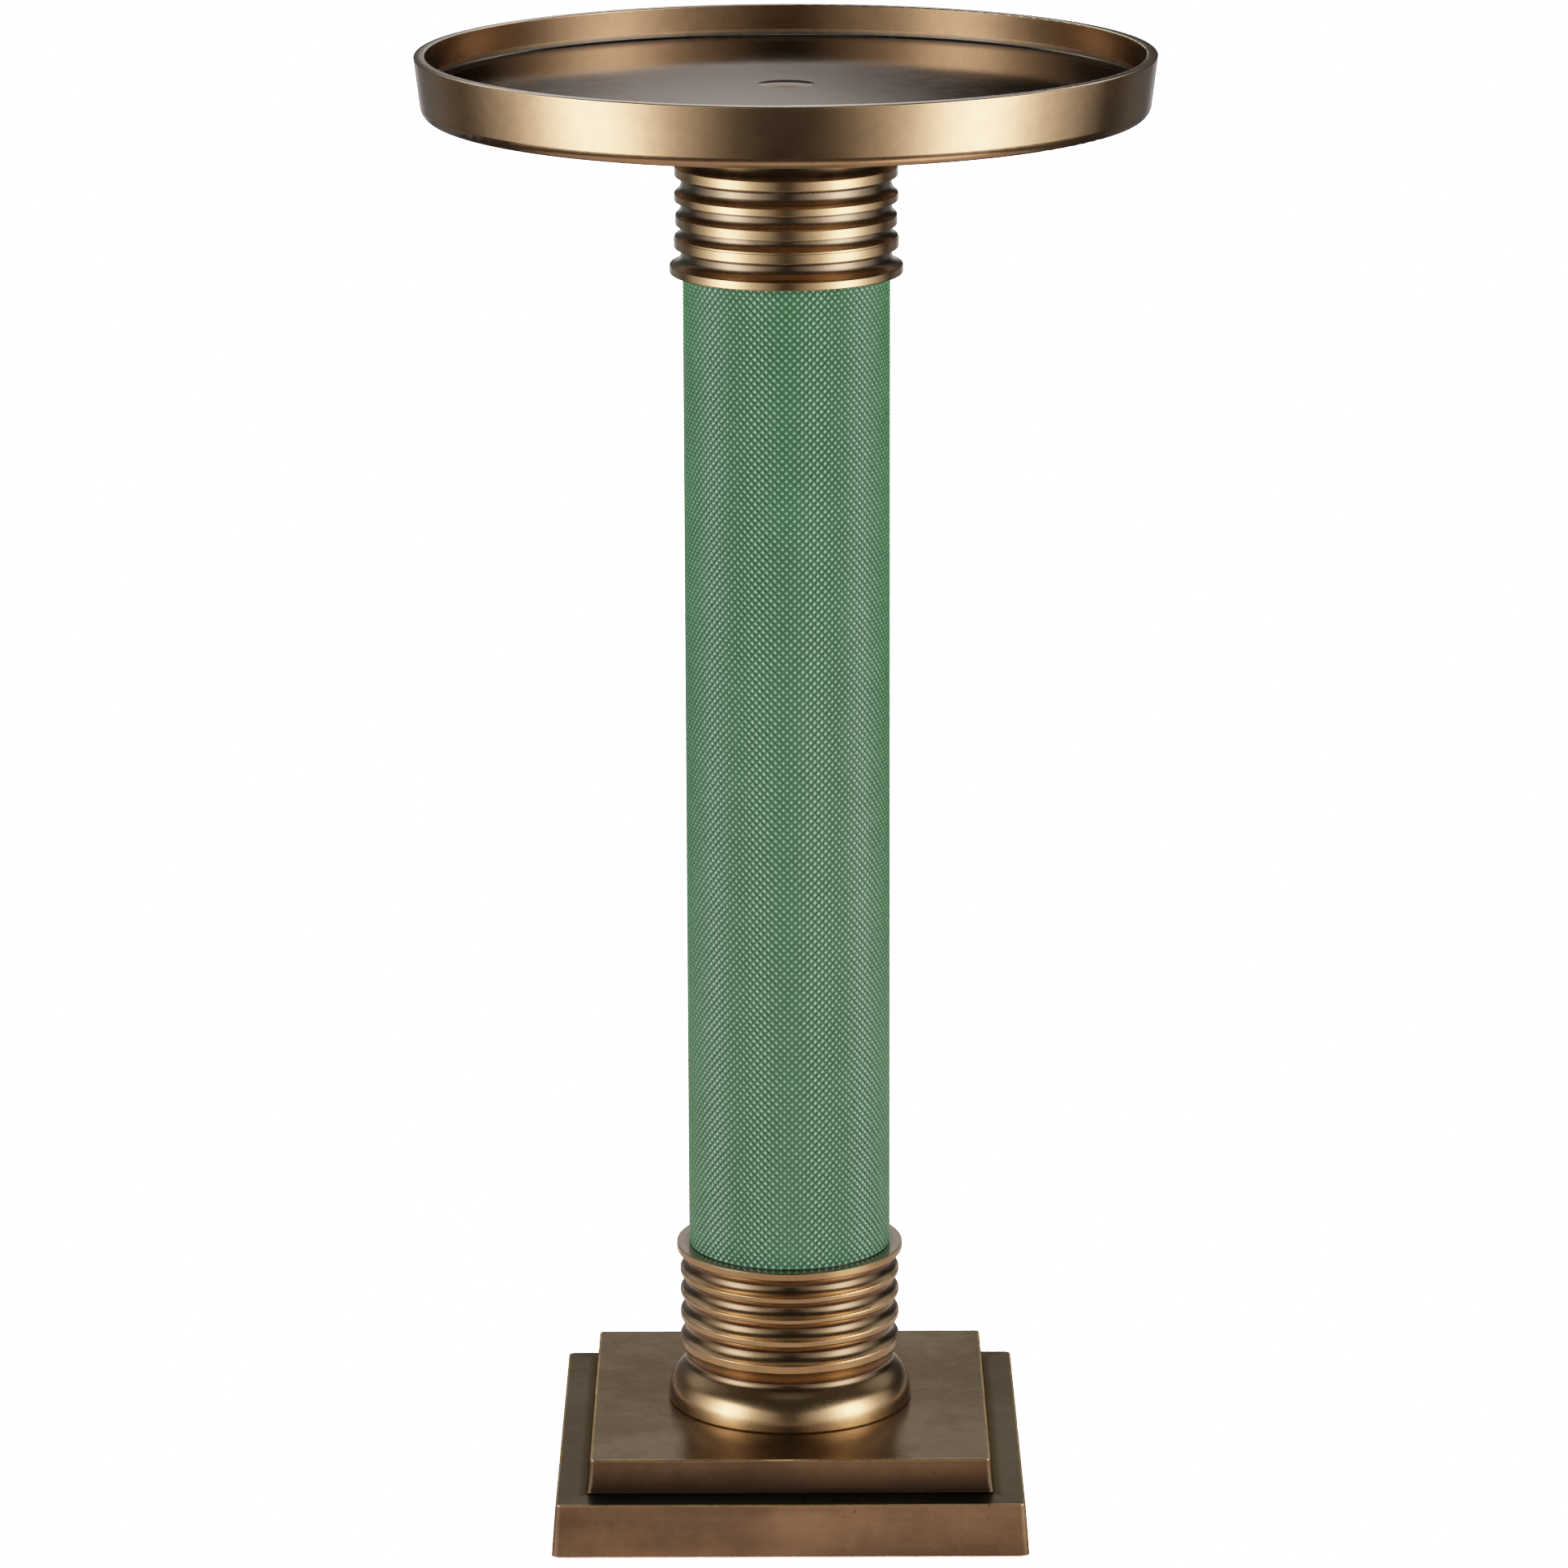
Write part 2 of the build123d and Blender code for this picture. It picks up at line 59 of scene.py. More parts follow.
# ---------------------------------------------------------------- node helpers
class Tree:
    """Short calls for building a shader tree."""

    def __init__(self, tree):
        self.t = tree
        self.t.nodes.clear()

    def node(self, kind, **props):
        n = self.t.nodes.new(kind)
        for k, v in props.items():
            setattr(n, k, v)
        return n

    def put(self, value, socket):
        if isinstance(value, bpy.types.NodeSocket):
            self.t.links.new(value, socket)
        else:
            if isinstance(value, (tuple, list)) and len(value) == 3 and len(socket.default_value) == 4:
                value = (*value, 1.0)
            socket.default_value = value

    def math(self, op, a, b=None, c=None, clamp=False):
        n = self.node("ShaderNodeMath", operation=op, use_clamp=clamp)
        self.put(a, n.inputs[0])
        if b is not None:
            self.put(b, n.inputs[1])
        if c is not None:
            self.put(c, n.inputs[2])
        return n.outputs[0]

    def add(self, a, b):
        return self.math("ADD", a, b)

    def sub(self, a, b):
        return self.math("SUBTRACT", a, b)

    def mul(self, a, b):
        return self.math("MULTIPLY", a, b)

    def ramp(self, x, a, b, lo=0.0, hi=1.0, smooth=True):
        """lo below a, hi above b, smooth between."""
        n = self.node("ShaderNodeMapRange", interpolation_type="SMOOTHSTEP" if smooth else "LINEAR")
        n.clamp = True
        self.put(x, n.inputs["Value"])
        for k, v in (("From Min", a), ("From Max", b), ("To Min", lo), ("To Max", hi)):
            self.put(v, n.inputs[k])
        return n.outputs["Result"]

    def vmath(self, op, a, b=None):
        n = self.node("ShaderNodeVectorMath", operation=op)
        self.put(a, n.inputs[0])
        if b is not None:
            self.put(b, n.inputs[1])
        return n.outputs["Value"] if op in ("LENGTH", "DOT_PRODUCT", "DISTANCE") else n.outputs[0]

    def split(self, v):
        n = self.node("ShaderNodeSeparateXYZ")
        self.put(v, n.inputs[0])
        return n.outputs

    def join(self, x, y, z):
        n = self.node("ShaderNodeCombineXYZ")
        for i, v in enumerate((x, y, z)):
            self.put(v, n.inputs[i])
        return n.outputs[0]

    def noise(self, vec, scale, detail=2.0, rough=0.5, lac=2.0, dist=0.0):
        n = self.node("ShaderNodeTexNoise", noise_dimensions="3D")
        self.put(vec, n.inputs["Vector"])
        for k, v in (("Scale", scale), ("Detail", detail), ("Roughness", rough), ("Lacunarity", lac), ("Distortion", dist)):
            n.inputs[k].default_value = v
        return n.outputs["Fac"]

    def voronoi(self, vec, scale, feature="F1"):
        n = self.node("ShaderNodeTexVoronoi", feature=feature)
        self.put(vec, n.inputs["Vector"])
        n.inputs["Scale"].default_value = scale
        return n.outputs["Distance"]

    def mix(self, fac, a, b, blend="MIX"):
        n = self.node("ShaderNodeMix", data_type="RGBA", blend_type=blend)
        n.clamp_factor = True
        self.put(fac, n.inputs[0])
        self.put(a, n.inputs[6])
        self.put(b, n.inputs[7])
        return n.outputs[2]

    def bump(self, height, strength, distance, normal=None):
        n = self.node("ShaderNodeBump")
        n.inputs["Strength"].default_value = strength
        n.inputs["Distance"].default_value = distance
        self.put(height, n.inputs["Height"])
        if normal is not None:
            self.put(normal, n.inputs["Normal"])
        return n.outputs[0]


def material(name):
    """A material with a Principled shader: (material, tree, shader inputs)."""
    m = bpy.data.materials.new(name)
    m.use_nodes = True
    t = Tree(m.node_tree)
    out = t.node("ShaderNodeOutputMaterial")
    p = t.node("ShaderNodeBsdfPrincipled")
    t.t.links.new(p.outputs[0], out.inputs["Surface"])
    return m, t, p.inputs


# ------------------------------------------------------------------ metals
def grain(t, v, fine=2300.0, micro=5600.0):
    a = t.noise(v, fine, 2.0, 0.6)
    b = t.noise(v, micro, 1.0, 0.5)
    return t.add(t.mul(a, 0.65), t.mul(b, 0.35)), a


def brass_satin(name, light, dark, rough, bump=0.35, flake=0.16, tint=(1, 1, 1), coat=0.0):
    """Sprayed and lacquered antique brass: fine metallic grain, faint clouds of patina."""
    m, t, p = material(name)
    v = t.node("ShaderNodeTexCoord").outputs["Object"]
    g, fine = grain(t, v)
    cloud = t.noise(v, 26.0, 4.0, 0.55)
    blot = t.noise(v, 150.0, 3.0, 0.6)
    pat = t.ramp(t.add(t.mul(cloud, 0.65), t.mul(blot, 0.35)), 0.36, 0.66)
    col = t.mix(pat, dark, light)
    shade = t.ramp(fine, 0.25, 0.75, 1.0 - flake, 1.0 + flake, smooth=False)
    col = t.mix(1.0, col, t.join(shade, shade, shade), "MULTIPLY")
    t.put(col, p["Base Color"])
    p["Metallic"].default_value = 1.0
    r = t.add(t.mul(t.sub(cloud, 0.5), 0.08), t.add(t.mul(t.sub(fine, 0.5), 0.08), rough))
    t.put(t.math("MAXIMUM", r, 0.06), p["Roughness"])
    t.put(t.bump(g, bump, 0.00002), p["Normal"])
    p["Specular Tint"].default_value = (*tint, 1.0)
    p["Coat Weight"].default_value = coat
    p["Coat Roughness"].default_value = 0.20
    p["Coat IOR"].default_value = 1.6
    return m, t, p


COLLAR_LIGHT, COLLAR_DARK = (0.575, 0.362, 0.166), (0.480, 0.298, 0.134)
TRAY_LIGHT, TRAY_DARK = (0.54, 0.326, 0.156), (0.45, 0.268, 0.126)


def brass_collar():
    m, t, p = brass_satin("antique_brass_collar", COLLAR_LIGHT, COLLAR_DARK, 0.25, bump=0.16, flake=0.09, coat=0.55)
    # painted shade: the coves between the lands of the upper collar are darkened where shade falls
    x, y, z = t.split(t.node("ShaderNodeTexCoord").outputs["Object"])[0:3]
    rad = t.math("SQRT", t.add(t.mul(x, x), t.mul(y, y)))
    upper = t.ramp(z, 0.40, 0.45)
    cove_painted_shade = t.mul(t.ramp(rad, 0.0457, 0.0438), upper)
    deep = t.mul(t.ramp(rad, 0.0450, 0.0437), t.sub(1.0, upper))
    # painted shade: the collar's top flange under the tray is painted dark
    under_tray_painted_shade = t.mul(t.ramp(z, 0.5793, 0.5796), 0.75)
    col = p["Base Color"].links[0].from_socket
    col = t.mix(t.mul(cove_painted_shade, 0.9), col, t.mix(1.0, col, (0.36, 0.40, 0.50), "MULTIPLY"))
    # painted shade: the grooves between the lower collar's ribs are darkened
    col = t.mix(t.mul(deep, 0.85), col, (0.150, 0.086, 0.036))
    col = t.mix(under_tray_painted_shade, col, (0.070, 0.048, 0.026))
    # painted reflection: the lower collar's top flange is darkened where the dark column reflects in it
    lip_painted_reflection = t.mul(t.ramp(z, 0.1058, 0.1063), t.ramp(z, 0.1080, 0.1070))
    t.put(t.mix(t.mul(lip_painted_reflection, 0.6), col, (0.16, 0.105, 0.050)), p["Base Color"])
    return m


def brass_tray():
    """The tray: satin walls, and a darker polished floor."""
    m, t, p = material("antique_brass_tray")
    v = t.node("ShaderNodeTexCoord").outputs["Object"]
    x, y, z = t.split(v)[0:3]
    rad = t.math("SQRT", t.add(t.mul(x, x), t.mul(y, y)))
    g, fine = grain(t, v, 1900.0, 5000.0)
    cloud = t.noise(v, 22.0, 4.0, 0.55)
    blot = t.noise(v, 170.0, 3.0, 0.6)
    pat = t.ramp(t.add(t.mul(cloud, 0.6), t.mul(blot, 0.4)), 0.36, 0.66)
    wall = t.mix(pat, TRAY_DARK, TRAY_LIGHT)
    floor = t.mix(pat, (0.175, 0.152, 0.118), (0.215, 0.188, 0.150))
    on_floor = t.mul(t.ramp(rad, 0.1459, 0.1454), t.mul(t.ramp(z, 0.5940, 0.5944), t.ramp(z, 0.5990, 0.5980)))
    # painted shade: the tray's underside around the centre is painted dark
    boss_painted_shade = t.mul(t.ramp(rad, 0.0645, 0.0635), t.ramp(z, 0.5936, 0.5930))
    wall = t.mix(t.mul(boss_painted_shade, 0.85), wall, (0.055, 0.038, 0.020))
    # painted shade: the wall's inner face is darkened towards its two ends along x
    inside_ends_painted_shade = t.mul(t.ramp(rad, 0.1484, 0.1478), t.ramp(t.math("ABSOLUTE", x), 0.095, 0.138))
    wall = t.mix(t.mul(inside_ends_painted_shade, 0.62), wall, (0.12, 0.080, 0.046))
    # painted shade: the raised centre cap on the floor is painted darker
    cap = t.mul(t.ramp(rad, 0.030, 0.0295), t.ramp(z, 0.59712, 0.59722))
    floor = t.mix(t.mul(cap, 0.7), floor, (0.085, 0.068, 0.050))
    col = t.mix(on_floor, wall, floor)
    shade = t.ramp(fine, 0.25, 0.75, 0.91, 1.09, smooth=False)
    col = t.mix(1.0, col, t.join(shade, shade, shade), "MULTIPLY")
    # the rim's top edge is lightened: partly rubbed, partly a painted highlight
    rim = t.mul(t.ramp(z, 0.6091, 0.6098), 0.85)
    col = t.mix(rim, col, (0.80, 0.64, 0.42))
    t.put(col, p["Base Color"])
    p["Metallic"].default_value = 1.0
    rw = t.add(t.mul(t.sub(cloud, 0.5), 0.07), t.add(t.mul(t.sub(fine, 0.5), 0.07), 0.225))
    rf = t.add(t.mul(t.sub(cloud, 0.5), 0.04), t.add(t.mul(t.sub(blot, 0.5), 0.03), 0.095))
    r = t.add(t.mul(rw, t.sub(1.0, on_floor)), t.mul(rf, on_floor))
    ring = t.mul(t.mul(t.ramp(rad, 0.1450, 0.1455), t.ramp(rad, 0.1482, 0.1476)), t.mul(t.ramp(z, 0.5940, 0.5944), t.ramp(z, 0.6002, 0.5992)))
    t.put(t.math("MAXIMUM", r, t.mul(ring, 0.42)), p["Roughness"])
    h = t.mul(g, t.sub(1.0, t.mul(on_floor, 0.85)))
    t.put(t.bump(h, 0.18, 0.00002), p["Normal"])
    p["Specular Tint"].default_value = (0.43, 0.385, 0.36, 1.0)
    t.put(t.mul(t.sub(1.0, on_floor), 0.7), p["Coat Weight"])
    p["Coat Roughness"].default_value = 0.20
    p["Coat IOR"].default_value = 1.6
    return m


def brass_plinth():
    """Hand-finished brass: long rubbed streaks, dark patina in clouds, pits, bright worn arrises carrying a painted
    highlight, and painted shade on the vertical faces' ends, the upper plinth's sides and the crease between the
    plinths.
    """
    m, t, p = material("antique_brass_plinth")
    tc = t.node("ShaderNodeTexCoord")
    v, nrm = tc.outputs["Object"], tc.outputs["Normal"]
    x, y, z = t.split(v)[0:3]
    nx, ny, nz = t.split(nrm)[0:3]
    along_x = t.noise(t.join(t.mul(x, 9.0), t.mul(y, 420.0), t.mul(z, 420.0)), 1.0, 4.0, 0.6)
    along_y = t.noise(t.join(t.mul(x, 420.0), t.mul(y, 9.0), t.mul(z, 420.0)), 1.0, 4.0, 0.6)
    side = t.ramp(t.math("ABSOLUTE", nx), 0.6, 0.8)
    streak = t.add(t.mul(along_x, t.sub(1.0, side)), t.mul(along_y, side))
    wide = t.noise(t.join(t.mul(x, 5.0), t.mul(y, 60.0), t.mul(z, 60.0)), 1.0, 3.0, 0.55)
    g, fine = grain(t, v, 2100.0, 5200.0)
    cloud = t.noise(v, 17.0, 5.0, 0.6)
    blot = t.noise(v, 120.0, 4.0, 0.6, dist=0.6)
    pat = t.ramp(t.add(t.add(t.mul(cloud, 0.50), t.mul(blot, 0.12)), t.mul(wide, 0.38)), 0.36, 0.64)
    flat = t.ramp(nz, 0.75, 0.95)
    vert = t.mix(pat, (0.215, 0.134, 0.078), (0.425, 0.268, 0.152))
    # painted shade: the vertical faces are darkened towards their ends
    ends = t.ramp(t.math("MINIMUM", t.math("ABSOLUTE", x), t.math("ABSOLUTE", y)), 0.03, 0.096, 1.06, 0.82)
    vert = t.mix(1.0, vert, t.join(ends, ends, ends), "MULTIPLY")
    # painted shade: the upper plinth's sides are darkened, most towards the bottom
    step = t.ramp(z, 0.0240, 0.0243)
    fade = t.ramp(z, 0.0243, 0.0370, 0.26, 0.62)
    dim_painted_shade = t.add(t.sub(1.0, step), t.mul(step, fade))
    vert = t.mix(1.0, vert, t.join(dim_painted_shade, dim_painted_shade, dim_painted_shade), "MULTIPLY")
    soft = t.ramp(t.add(t.mul(cloud, 0.75), t.mul(blot, 0.25)), 0.38, 0.62)
    top = t.mix(soft, (0.200, 0.152, 0.114), (0.305, 0.234, 0.176))
    low = t.mul(flat, t.ramp(z, 0.0250, 0.0242))
    top = t.mix(t.mul(low, 0.75), top, (0.128, 0.106, 0.084))
    col = t.mix(flat, vert, top)
    shade = t.add(t.ramp(fine, 0.25, 0.75, 0.88, 1.12, smooth=False), t.mul(t.sub(streak, 0.5), t.sub(0.30, t.mul(flat, 0.26))))
    col = t.mix(1.0, col, t.join(shade, shade, shade), "MULTIPLY")
    # bright rubbed arrises with a painted highlight along them, found from the shape of the two plinths
    ax, ay = t.math("ABSOLUTE", x), t.math("ABSOLUTE", y)
    far = t.math("MAXIMUM", ax, ay)
    up_top = t.mul(t.ramp(z, 0.0366, 0.0375), t.ramp(far, 0.0815, 0.0826))
    lo_top = t.mul(t.mul(t.ramp(z, 0.0220, 0.0229), t.ramp(z, 0.0238, 0.0234)), t.ramp(far, 0.0958, 0.0967))
    near = t.math("MINIMUM", ax, ay)
    corner = t.ramp(t.add(near, t.mul(far, 1.0)), 0.162, 0.1655)
    wear_and_highlight = t.math("MAXIMUM", up_top, lo_top)
    wear_and_highlight = t.mul(wear_and_highlight, t.ramp(t.add(blot, t.mul(streak, 0.3)), 0.45, 0.75, 0.45, 1.0))
    col = t.mix(wear_and_highlight, col, (0.72, 0.50, 0.25))
    pits = t.mul(t.ramp(t.noise(v, 520.0, 2.0, 0.5), 0.70, 0.76), t.ramp(cloud, 0.45, 0.6))
    col = t.mix(t.mul(pits, 0.7), col, (0.07, 0.045, 0.025))
    # painted shade in the crease where the two plinths meet
    crease_painted_shade = t.mul(t.ramp(z, 0.0228, 0.0236), t.mul(t.ramp(z, 0.0262, 0.0244), t.ramp(far, 0.0885, 0.0850)))
    col = t.mix(t.mul(crease_painted_shade, 0.75), col, (0.050, 0.036, 0.022))
    t.put(col, p["Base Color"])
    p["Metallic"].default_value = 1.0
    r = t.add(t.mul(t.sub(pat, 0.5), -0.08), t.add(t.mul(t.mul(t.sub(streak, 0.5), t.sub(1.0, t.mul(flat, 0.85))), 0.10), 0.33))
    r = t.sub(r, t.add(t.mul(wear_and_highlight, 0.06), t.mul(flat, 0.07)))
    t.put(r, p["Roughness"])
    p["Specular Tint"].default_value = (0.62, 0.56, 0.47, 1.0)
    h = t.add(t.add(t.mul(g, 0.5), t.mul(streak, t.sub(0.5, t.mul(flat, 0.49)))), t.mul(pits, -0.8))
    b1 = t.bump(h, 0.35, 0.00003)
    t.put(t.bump(t.add(cloud, t.mul(wide, t.sub(0.6, t.mul(flat, 0.6)))), 0.14, 0.0012, b1), p["Normal"])
    return m


# ------------------------------------------------------------- other materials
def leather():
    """Embossed green leather cloth: satin skin, small shifts of dye, darker in the grooves."""
    m, t, p = material("green_embossed_leather")
    v = t.node("ShaderNodeTexCoord").outputs["Object"]
    x, y, z = t.split(v)[0:3]
    rad = t.math("SQRT", t.add(t.mul(x, x), t.mul(y, y)))
    cloud = t.noise(v, 30.0, 4.0, 0.6)
    dye = t.noise(v, 420.0, 3.0, 0.6)
    pore = t.noise(v, 3800.0, 2.0, 0.6)
    base = t.mix(t.ramp(t.add(t.mul(cloud, 0.6), t.mul(dye, 0.4)), 0.35, 0.65), (0.041, 0.170, 0.057), (0.054, 0.202, 0.073))
    deep = t.ramp(rad, 0.04217, 0.04204)
    col = t.mix(t.mul(deep, 0.85), base, (0.008, 0.058, 0.018))
    # painted highlight: the stud tops are lightened
    tip_painted_highlight = t.ramp(rad, 0.04229, 0.04242)
    col = t.mix(t.mul(tip_painted_highlight, 0.90), col, (0.44, 0.72, 0.50))
    t.put(col, p["Base Color"])
    p["Metallic"].default_value = 0.0
    t.put(t.add(t.mul(t.sub(dye, 0.5), 0.05), t.add(t.mul(t.sub(pore, 0.5), 0.05), 0.255)), p["Roughness"])
    p["IOR"].default_value = 1.5
    p["Specular IOR Level"].default_value = 0.70
    p["Coat Weight"].default_value = 0.22
    p["Coat Roughness"].default_value = 0.26
    t.put(t.bump(t.add(t.mul(pore, 0.6), t.mul(dye, 0.6)), 0.15, 0.00003), p["Normal"])
    return m


def plated(name, light, dark, rough):
    """Zinc-plated or drawn steel."""
    m, t, p = material(name)
    v = t.node("ShaderNodeTexCoord").outputs["Object"]
    g, fine = grain(t, v, 1600.0, 4200.0)
    cells = t.voronoi(v, 420.0)
    pat = t.ramp(t.add(t.mul(t.noise(v, 60.0, 4.0, 0.6), 0.6), t.mul(cells, 0.5)), 0.30, 0.75)
    t.put(t.mix(pat, dark, light), p["Base Color"])
    p["Metallic"].default_value = 1.0
    t.put(t.add(t.mul(t.sub(fine, 0.5), 0.15), rough), p["Roughness"])
    t.put(t.bump(g, 0.3, 0.00002), p["Normal"])
    return m


def oxide(name, light, dark, rough, metallic):
    """Blackened steel or cast iron: a grainy skin."""
    m, t, p = material(name)
    v = t.node("ShaderNodeTexCoord").outputs["Object"]
    a = t.noise(v, 900.0, 4.0, 0.65)
    b = t.noise(v, 70.0, 4.0, 0.6)
    t.put(t.mix(t.ramp(t.add(t.mul(a, 0.5), t.mul(b, 0.5)), 0.38, 0.64), dark, light), p["Base Color"])
    p["Metallic"].default_value = metallic
    t.put(t.add(t.mul(t.sub(a, 0.5), 0.2), rough), p["Roughness"])
    t.put(t.bump(a, 0.6, 0.00012), p["Normal"])
    return m


def rubber():
    m, t, p = material("black_rubber")
    v = t.node("ShaderNodeTexCoord").outputs["Object"]
    a = t.noise(v, 2400.0, 3.0, 0.6)
    t.put(t.mix(a, (0.012, 0.012, 0.012), (0.026, 0.025, 0.024)), p["Base Color"])
    t.put(t.add(t.mul(a, 0.15), 0.55), p["Roughness"])
    t.put(t.bump(a, 0.4, 0.00005), p["Normal"])
    return m


def felt():
    m, t, p = material("brown_felt")
    v = t.node("ShaderNodeTexCoord").outputs["Object"]
    a = t.noise(v, 2600.0, 4.0, 0.75, dist=1.2)
    b = t.noise(v, 240.0, 3.0, 0.6)
    t.put(t.mix(t.add(t.mul(a, 0.7), t.mul(b, 0.3)), (0.018, 0.014, 0.010), (0.070, 0.056, 0.042)), p["Base Color"])
    p["Roughness"].default_value = 0.95
    p["Sheen Weight"].default_value = 0.4
    t.put(t.bump(a, 0.9, 0.0002), p["Normal"])
    return m


def board():
    m, t, p = material("fibre_board")
    v = t.node("ShaderNodeTexCoord").outputs["Object"]
    x, y, z = t.split(v)[0:3]
    a = t.noise(t.join(t.mul(x, 1400.0), t.mul(y, 260.0), t.mul(z, 900.0)), 1.0, 4.0, 0.7, dist=0.8)
    b = t.noise(v, 50.0, 3.0, 0.6)
    t.put(t.mix(t.add(t.mul(a, 0.6), t.mul(b, 0.4)), (0.020, 0.016, 0.012), (0.058, 0.046, 0.034)), p["Base Color"])
    t.put(t.add(t.mul(a, 0.2), 0.6), p["Roughness"])
    t.put(t.bump(a, 0.5, 0.0001), p["Normal"])
    return m


def wood():
    m, t, p = material("turned_wood")
    v = t.node("ShaderNodeTexCoord").outputs["Object"]
    x, y, z = t.split(v)[0:3]
    off = t.join(t.add(x, 0.021), t.add(y, -0.013), t.mul(z, 0.12))
    wob = t.noise(t.join(t.mul(x, 1.0), t.mul(y, 1.0), t.mul(z, 0.2)), 30.0, 3.0, 0.5)
    d = t.add(t.vmath("LENGTH", off), t.mul(wob, 0.006))
    ring = t.add(t.mul(t.math("SINE", t.mul(d, 2600.0)), 0.5), 0.5)
    fib = t.noise(t.join(t.mul(x, 1500.0), t.mul(y, 1500.0), t.mul(z, 60.0)), 1.0, 3.0, 0.6)
    t.put(t.mix(t.add(t.mul(ring, 0.6), t.mul(fib, 0.4)), (0.34, 0.20, 0.10), (0.56, 0.38, 0.21)), p["Base Color"])
    t.put(t.add(t.mul(fib, 0.2), 0.5), p["Roughness"])
    t.put(t.bump(t.add(ring, fib), 0.3, 0.00006), p["Normal"])
    return m


mats = {
    "brass_tray": brass_tray(),
    "brass_collar": brass_collar(),
    "brass_plinth": brass_plinth(),
    "green_leather": leather(),
    "rubber_black": rubber(),
    "zinc_steel": plated("zinc_plated_steel", (0.62, 0.63, 0.62), (0.42, 0.43, 0.43), 0.32),
    "tube_steel": plated("drawn_steel", (0.50, 0.49, 0.47), (0.36, 0.35, 0.34), 0.36),
    "black_fastener": oxide("blackened_steel", (0.060, 0.058, 0.055), (0.022, 0.021, 0.020), 0.42, 0.9),
    "ballast_iron": oxide("cast_iron", (0.120, 0.115, 0.108), (0.045, 0.042, 0.040), 0.62, 0.8),
    "plug_wood": wood(),
    "cover_board": board(),
    "felt_pad": felt(),
}
# painted shade: the tray's flange piece under the tray is given a near-black colour where shade falls
shade_dark_plate = plated("plate_painted_shade", (0.080, 0.064, 0.045), (0.040, 0.031, 0.022), 0.45)
for name, o in NODES.items():
    for s in o.material_slots:
        key = s.material.name.split(".")[0] if s.material else "zinc_steel"
        s.material = shade_dark_plate if name == "tray_flange_plate" else mats.get(key, mats["zinc_steel"])


